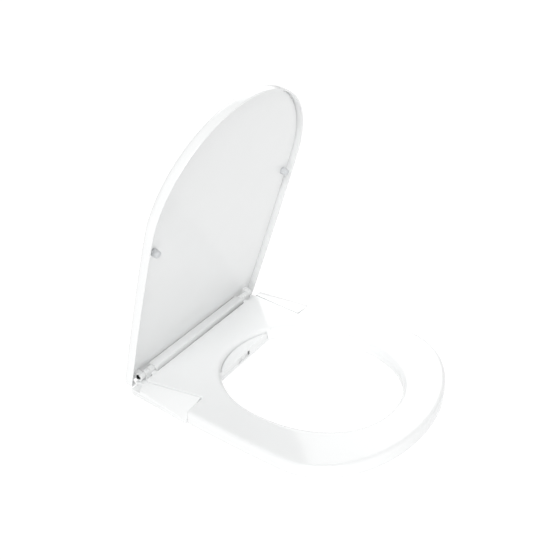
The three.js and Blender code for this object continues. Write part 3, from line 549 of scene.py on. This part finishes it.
# %% Lid skin
LID_RIM_Z, LID_TOP, PANEL_Z, LID_REAR_STATION = 29.5, 47.5, 39, -22.5
LID_OPEN = math.radians(-71.5)
LID_EDGE_RADIUS, LID_WALL, CROWN = 7.5, 2.5, 1.2
GROOVE_WIDTH, GROOVE_DEPTH, FOOT_RADIUS = 1.2, 2.2, 1.2
HINGE_CUT_X, HINGE_CUT_Z = 149, 38.4


def lid_outline():
    corner = (half_width(LID_REAR_STATION, LID_PLAN), LID_REAR_STATION)
    arc = rounded((0, LID_REAR_STATION), corner, (half_width(10, LID_PLAN), 10), 6, 8)
    points = along((0.01, LID_REAR_STATION), (HINGE_CUT_X - 0.5, LID_REAR_STATION), 24)
    points += along((HINGE_CUT_X - 0.5, LID_REAR_STATION), arc[0], 3) if arc[0][0] > HINGE_CUT_X else []
    points += arc + flank_and_nose(LID_PLAN, 4, 46, 46)
    return mirrored(points, LID_PLAN["length"])


lid_edge = lid_outline()
LID_CENTRE = Vector((0, DECK_REAR_Y - 205))


def lid_ring(distance, z):
    """The lid's contour at an inset; over the hinge the wall stops high."""
    cut_line = DECK_REAR_Y - LID_REAR_STATION - 14
    return [
        (x, y, max(z, HINGE_CUT_Z) if abs(x) < HINGE_CUT_X and y > cut_line else z)
        for x, y in inset(lid_edge, distance)
    ]


def shrunk(distance, share, z):
    """The contour at an inset, shrunk about the middle of the lid."""
    points = [LID_CENTRE.lerp(Vector(p), share) for p in inset(lid_edge, distance)]
    return [(p.x, p.y, z) for p in points]


def lid_rings():
    shares = (0, 0.1, 0.25, 0.4, 0.55, 0.7, 0.82, 0.91, 0.97)
    rows = [shrunk(LID_EDGE_RADIUS, s, LID_TOP - CROWN * s ** 2.2) for s in shares]
    start = LID_TOP - CROWN - LID_EDGE_RADIUS
    for c, s in reversed(quarter(8)):
        rows.append(lid_ring(LID_EDGE_RADIUS * (1 - c), start + LID_EDGE_RADIUS * s))
    rows += [lid_ring(0, 35), lid_ring(0, 32), lid_ring(0.05, LID_RIM_Z + 0.7)]
    rows += [lid_ring(0.3, LID_RIM_Z + 0.2), lid_ring(0.8, LID_RIM_Z), lid_ring(LID_WALL - 0.8, LID_RIM_Z)]
    rows += [lid_ring(LID_WALL - 0.3, LID_RIM_Z + 0.2), lid_ring(LID_WALL, LID_RIM_Z + 0.8)]
    foot = LID_WALL + 0.3
    rows += [lid_ring(foot, PANEL_Z + GROOVE_DEPTH), lid_ring(foot + GROOVE_WIDTH, PANEL_Z + GROOVE_DEPTH)]
    for c, s in quarter(4):
        rows.append(lid_ring(foot + GROOVE_WIDTH + FOOT_RADIUS * (1 - s), PANEL_Z + FOOT_RADIUS * (1 - c)))
    rows[-5:] = reversed(rows[-5:])
    rows += [shrunk(foot + GROOVE_WIDTH + FOOT_RADIUS, s, PANEL_Z) for s in reversed(shares)]
    return rows


lid = wrapped(lid_rings())
print("lid skin:", len(lid.faces), "faces")

# %% Lid knuckles and buffers
LID_KNUCKLE = (137, 146.5)
LID_BUFFER_STATION, LID_BUFFER_X, LID_BUFFER_RADIUS, LID_BUFFER_FOOT_Z = 243, 156.85, 6, 27.8


def swing_open(bm):
    turn = Matrix.Rotation(LID_OPEN, 3, "X")
    bmesh.ops.rotate(bm, cent=(0, HINGE_Y, HINGE_Z), matrix=turn, verts=bm.verts)


for side in (-1, 1):
    low, high = sorted(side * x for x in LID_KNUCKLE)
    barrel(lid, "x", ((low + high) / 2, HINGE_Y, HINGE_Z), HINGE_RADIUS, high - low)
    block(lid, (low, HINGE_Y - 5.5, HINGE_Z), (high, HINGE_Y + 5.5, PANEL_Z + 1), 0.8)
swing_open(lid)
piece("lid_moulding", lid, "lid", "white_gloss", ["lid_shell", "lid_inner_panel"])

for name, side in (("lid_buffer_left", -1), ("lid_buffer_right", 1)):
    bumper = bmesh.new()
    spot = (side * LID_BUFFER_X, DECK_REAR_Y - LID_BUFFER_STATION, (LID_BUFFER_FOOT_Z + PANEL_Z) / 2)
    height = PANEL_Z - LID_BUFFER_FOOT_Z
    barrel(bumper, "z", spot, LID_BUFFER_RADIUS - 0.8, height, 2, 40, LID_BUFFER_RADIUS)
    swing_open(bumper)
    piece(name.replace("buffer", "bumper"), bumper, "lid", "grey_rubber", [name])

# %% [markdown]
# ## The hinge bar
# Between the knuckles a plain bar hides the dampers. It is a box that fits close between deck and lid, so a cube
# is stretched, its two long top edges get a wider bevel, and then every edge left gets a narrow one.

# %% Hinge bar
BAR_HALF, BAR_FRONT, BAR_REAR, BAR_BOTTOM, BAR_TOP = 115, 3.5, 20.5, 20.8, 35
bar = bmesh.new()
bmesh.ops.create_cube(bar, size=1)
bmesh.ops.scale(bar, vec=(2 * BAR_HALF, BAR_REAR - BAR_FRONT, BAR_TOP - BAR_BOTTOM), verts=bar.verts)
bmesh.ops.translate(bar, vec=(0, (BAR_FRONT + BAR_REAR) / 2, (BAR_BOTTOM + BAR_TOP) / 2), verts=bar.verts)
long_top = [e for e in bar.edges if all(v.co.z > BAR_TOP - 1 for v in e.verts) and e.calc_length() > 100]
bmesh.ops.bevel(bar, geom=long_top, offset=1.6, offset_type="OFFSET", affect="EDGES",
                segments=8, profile=0.5, material=-1, clamp_overlap=True)
rest = [e for e in bar.edges if e.calc_face_angle(0) > math.radians(40)]
bmesh.ops.bevel(bar, geom=rest, offset=0.5, offset_type="OFFSET", affect="EDGES",
                segments=2, profile=0.5, material=-1, clamp_overlap=True)
piece("hinge_bar", bar, "wash_unit", "white_gloss", ["hinge_bar_cover"])

# %% [markdown]
# ## Pieces that keep their CAD shape
# Many pieces are already the right shape and lack only their broken edges. A CAD mesh comes as loose triangles, so
# a copy is welded, its flat faces are joined again so that only real creases are left, and those get a small
# bevel. The copy stands for its CAD node.

# %% Softened copies
def softened(node, name, radius, crease_deg=35):
    """A welded copy of a CAD node with its creases rounded."""
    bm = bmesh.new()
    bm.from_mesh(nodes[node].data)
    bmesh.ops.scale(bm, vec=(1 / MILLIMETRE,) * 3, verts=bm.verts)
    bmesh.ops.remove_doubles(bm, verts=bm.verts, dist=0.004)
    bmesh.ops.dissolve_limit(bm, angle_limit=math.radians(0.5), verts=bm.verts, edges=bm.edges)
    creases = [e for e in bm.edges if e.is_manifold and e.calc_face_angle(0) > math.radians(crease_deg)]
    if radius:
        bmesh.ops.bevel(bm, geom=creases, offset=radius, offset_type="OFFSET", affect="EDGES",
                        segments=2, profile=0.5, material=-1, clamp_overlap=True)
    return piece(name, bm, nodes[node]["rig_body"], slot_of[node], [node])


for node, name, radius in (
    ("base_cover", "unit_cover", 0.8), ("base_tray", "unit_tray", 0.5), ("mounting_plate", "bowl_plate", 0.7),
    ("seat_bottom_shell", "seat_underside", 0.4), ("rear_nozzle", "rear_wand", 0.5),
    ("front_nozzle", "front_wand", 0.5), ("nozzle_cradle", "wand_cradle", 0.4),
    ("water_inlet_union", "inlet_union", 0.4), ("cord_gland", "lead_gland", 0.5),
):
    softened(node, name, radius)

# %% [markdown]
# ## Buttons and bumpers
# A push button is a short cylinder with a shallow dish, so a fingertip finds its middle. The face is inset, pushed
# in and bevelled. The seat's rubber bumpers are low cones with a rounded foot.

# %% Buttons
def button(name, node, axis, sign, radius, dish):
    low, high = (Vector(c) * 1000 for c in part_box(node))
    middle, size = (low + high) / 2, high - low
    index = "xyz".index(axis)
    bm = bmesh.new()
    barrel(bm, axis, middle, radius, size[index], 0, 56)
    way = Vector([sign if i == index else 0 for i in range(3)])
    face = max(bm.faces, key=lambda f: f.normal.dot(way) * f.calc_area())
    bmesh.ops.inset_region(bm, faces=[face], thickness=1.1)
    bmesh.ops.inset_region(bm, faces=[face], thickness=1.4, depth=-dish)
    rims = [e for e in bm.edges if e.calc_face_angle(0) > math.radians(12)
            and e.verts[0].co.lerp(e.verts[1].co, 0.5).dot(way) > middle.dot(way)
            and abs((e.verts[0].co - e.verts[1].co).dot(way)) < 0.01]
    bmesh.ops.bevel(bm, geom=rims, offset=0.35, offset_type="OFFSET", affect="EDGES",
                    segments=3, profile=0.5, material=-1, clamp_overlap=True)
    piece(name, bm, nodes[node]["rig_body"], slot_of[node], [node])


for node in ("power_button", "rear_wash_button", "front_wash_button"):
    button(node.replace("button", "push"), node, "x", 1, 5, 0.5)
button("release_push", "release_button", "y", 1, 4, 0.4)

# %% Seat bumpers
for node in sorted(n for n in nodes if n.startswith("seat_buffer")):
    low, high = (Vector(c) * 1000 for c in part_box(node))
    foot = bmesh.new()
    barrel(foot, "z", (low + high) / 2, 7.2, high.z - low.z, 1.2, 40, 8)
    piece(node.replace("buffer", "bumper"), foot, "seat", "grey_rubber", [node])

# %% [markdown]
# ## Finishes for the pieces inside
# What stays as CAD gets its finish too, by the material slot that the record gives it, because it shows when the
# casing is opened or the seat is raised.

# %% Finishes on carried nodes
carried = [n for n in nodes if not nodes[n].hide_render]
for n in carried:
    nodes[n].data.materials.clear()
    nodes[n].data.materials.append(finishes[slot_of[n]])
print("carried over:", len(carried), "CAD nodes")

# %% [markdown]
# ## Floor and light
# A white object on white needs light that comes from everywhere, and one brighter side for its gloss to mirror.
# The floor is a sheet of opal acrylic that glows, so it stays white and lights the walls from below.

# %% Floor
FLOOR_GLOW = 0.75
floor_mesh = bmesh.new()
bmesh.ops.create_grid(floor_mesh, x_segments=8, y_segments=8, size=6)
floor_data = bpy.data.meshes.new("floor")
floor_mesh.to_mesh(floor_data)
floor_mesh.free()
floor = bpy.data.objects.new("floor", floor_data)
bpy.context.scene.collection.objects.link(floor)
# opal acrylic over lamps: it glows, and most of what falls on it passes through instead of coming back
sheet, _, sheet_shader, _ = new_material("opal_acrylic_sheet")
sheet_shader.inputs["Base Color"].default_value = linear("959595")
sheet_shader.inputs["Roughness"].default_value = 0.9
sheet_shader.inputs["Specular IOR Level"].default_value = 0.1
sheet_shader.inputs["Emission Color"].default_value = linear("ffffff")
sheet_shader.inputs["Emission Strength"].default_value = FLOOR_GLOW
floor_data.materials.append(sheet)

# %% [markdown]
# ### Sky
# The sky is an even white with a soft bright patch behind the seat, at the height that a level gloss mirrors
# toward the front. The front of the ring shines there, and nearer the hinge the gloss shows the lid instead.

# %% Sky
EVEN_SKY, BRIGHT_PATCH = 0.46, 1.9
PATCH_RIM, PATCH_CORE = 0.86, 0.97  # cosines of the angle from the middle of the patch
world = bpy.data.worlds.new("studio")
bpy.context.scene.world = world
world.use_nodes = True
sky = world.node_tree
sky.nodes.clear()
direction = add(sky, "ShaderNodeTexCoord").outputs["Generated"]
away = Vector((-toward_viewer.x, -toward_viewer.y, toward_viewer.z)).normalized()
facing = add(sky, "ShaderNodeVectorMath", {0: direction, 1: away}, operation="DOT_PRODUCT")
patch = add(sky, "ShaderNodeMapRange", {
    "Value": facing.outputs["Value"], "From Min": PATCH_RIM, "From Max": PATCH_CORE, "To Min": EVEN_SKY,
    "To Max": EVEN_SKY + BRIGHT_PATCH,
}, interpolation_type="SMOOTHSTEP")
seen = add(sky, "ShaderNodeLightPath").outputs["Is Camera Ray"]
strength = add(sky, "ShaderNodeMix", {"Factor": seen, "A": patch.outputs["Result"], "B": 1.0}, data_type="FLOAT")
light = add(sky, "ShaderNodeBackground", {"Color": (1, 1, 1, 1), "Strength": strength.outputs["Result"]})
add(sky, "ShaderNodeOutputWorld", {"Surface": light.outputs["Background"]})
bpy.context.scene.view_settings.view_transform = "Standard"
print("sky: even", EVEN_SKY, "patch", BRIGHT_PATCH)

# %% [markdown]
# ### Lamp
# One wide lamp stands high on the left, in front of the lid's plane. It reaches the deck, which the lid hides
# from half of the sky, and it leaves the inside of the lid in its own soft shade.

# %% Soft lamp
LAMP_FROM = Vector((-0.62, -0.35, 0.7))
LAMP_POWER, LAMP_SPREAD = 1.85, math.radians(40)
lamp_data = bpy.data.lights.new("soft_lamp", "SUN")
lamp_data.energy = LAMP_POWER
lamp_data.angle = LAMP_SPREAD
lamp = bpy.data.objects.new("soft_lamp", lamp_data)
lamp.rotation_euler = LAMP_FROM.to_track_quat("Z", "Y").to_euler()
bpy.context.scene.collection.objects.link(lamp)
